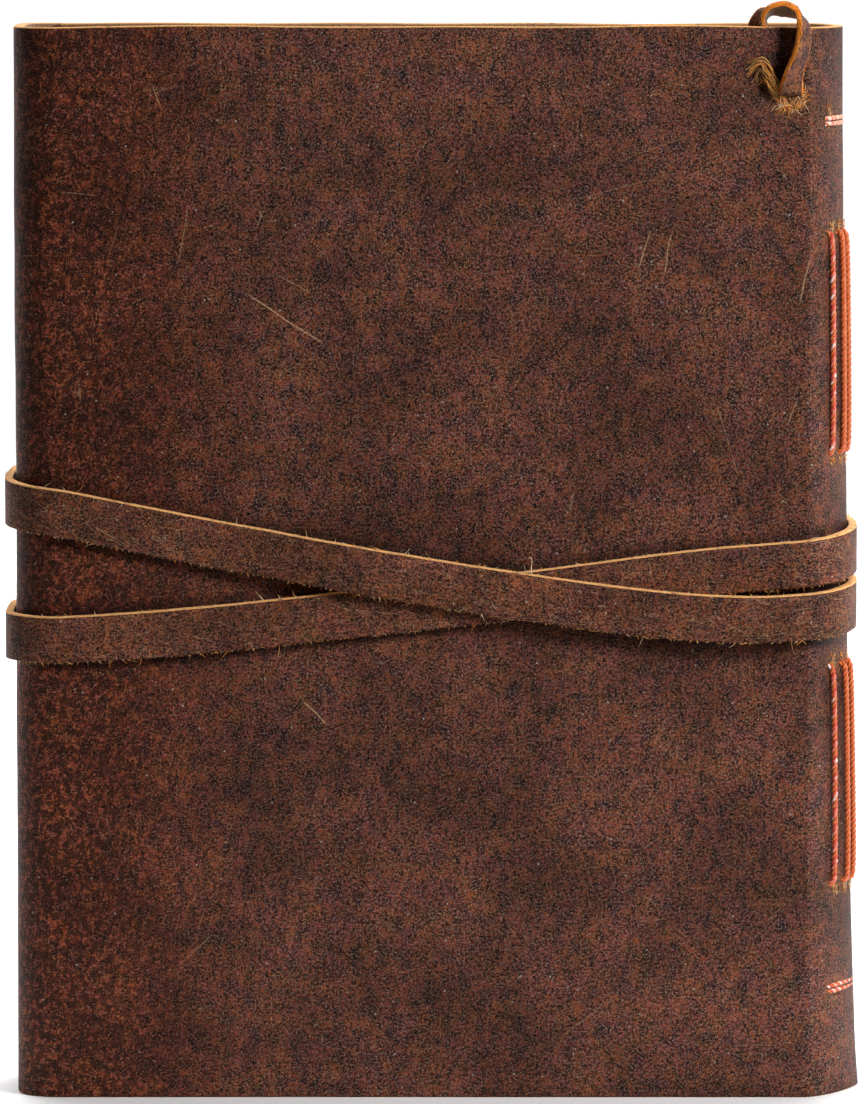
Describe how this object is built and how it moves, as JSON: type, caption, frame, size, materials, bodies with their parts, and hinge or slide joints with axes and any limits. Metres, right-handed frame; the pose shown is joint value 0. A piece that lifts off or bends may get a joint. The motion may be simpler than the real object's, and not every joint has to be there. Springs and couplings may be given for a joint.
{
  "type": "leather notebook cover",
  "caption": "Hand-sewn journal in a wrap-around leather cover with folding flap, wound strap, exposed spine stitching and a leather page marker.",
  "frame": {"origin": "middle of the base of the closed, strapped book as it stands on its tail edge", "axes": "+Z from tail to head, +X from fore edge to spine, +Y from back cover to front cover"},
  "size_m": [0.1628, 0.0382, 0.2075],
  "materials": {
    "cover_leather": "waxed pull-up hide, dark reddish brown, mottled, scuffed",
    "strap_leather": "waxed pull-up hide, tan cut edges",
    "thong_leather": "brown grain, orange-tan cut edges and flesh side",
    "page_paper": "cream handmade paper, deckled edges",
    "waxed_thread": "twisted waxed thread, orange"
  },
  "bodies": {
    "book": {"back_cover": "cover_leather", "spine_leather": "cover_leather", "signature_1": "page_paper", "signature_2": "page_paper", "signature_3": "page_paper", "signature_4": "page_paper", "signature_5": "page_paper", "sewing_thread_1": "waxed_thread", "sewing_thread_2": "waxed_thread", "sewing_thread_3": "waxed_thread", "sewing_thread_4": "waxed_thread", "sewing_thread_5": "waxed_thread", "sewing_thread_6": "waxed_thread", "kettle_stitch_head": "waxed_thread", "kettle_stitch_tail": "waxed_thread", "bookmark_thong": "thong_leather"},
    "front": {"front_cover": "cover_leather"},
    "wall": {"fore_edge_wall": "cover_leather"},
    "flap": {"wrap_flap": "cover_leather"},
    "first_pages": {"signature_6": "page_paper"},
    "wound_strap": {"strap": "strap_leather"}
  },
  "joints": [
    {"name": "front_cover_hinge", "type": "hinge", "parent": "book", "child": "front", "pos_m": [0.0732, 0.01435, 0], "axis": [0, 0, -1], "range_deg": [0, 175]},
    {"name": "fore_edge_fold", "type": "hinge", "parent": "book", "child": "wall", "pos_m": [-0.0765, -0.01185, 0], "axis": [0, 0, 1], "range_deg": [0, 90]},
    {"name": "flap_fold", "type": "hinge", "parent": "wall", "child": "flap", "pos_m": [-0.0765, 0.01415, 0], "axis": [0, 0, 1], "range_deg": [0, 90]},
    {"name": "first_pages_turn", "type": "hinge", "parent": "book", "child": "first_pages", "pos_m": [0.07055, 0.01005, 0], "axis": [0, 0, -1], "range_deg": [0, 21], "deforming": ["sewing_thread_6", "bookmark_thong"]},
    {"name": "strap_slide", "type": "slide", "parent": "book", "child": "wound_strap", "axis": [0, 0, 1], "range_m": [0, 0.13], "deforming": ["strap"]}
  ],
  "couplings": [
    {"joint": "fore_edge_fold", "follows": "front_cover_hinge", "ratio": 0.5142},
    {"joint": "flap_fold", "follows": "front_cover_hinge", "ratio": 0.5142},
    {"joint": "first_pages_turn", "follows": "front_cover_hinge", "ratio": 0.12},
    {"joint": "strap_slide", "follows": "front_cover_hinge", "m_per_rad": 0.04256}
  ]
}
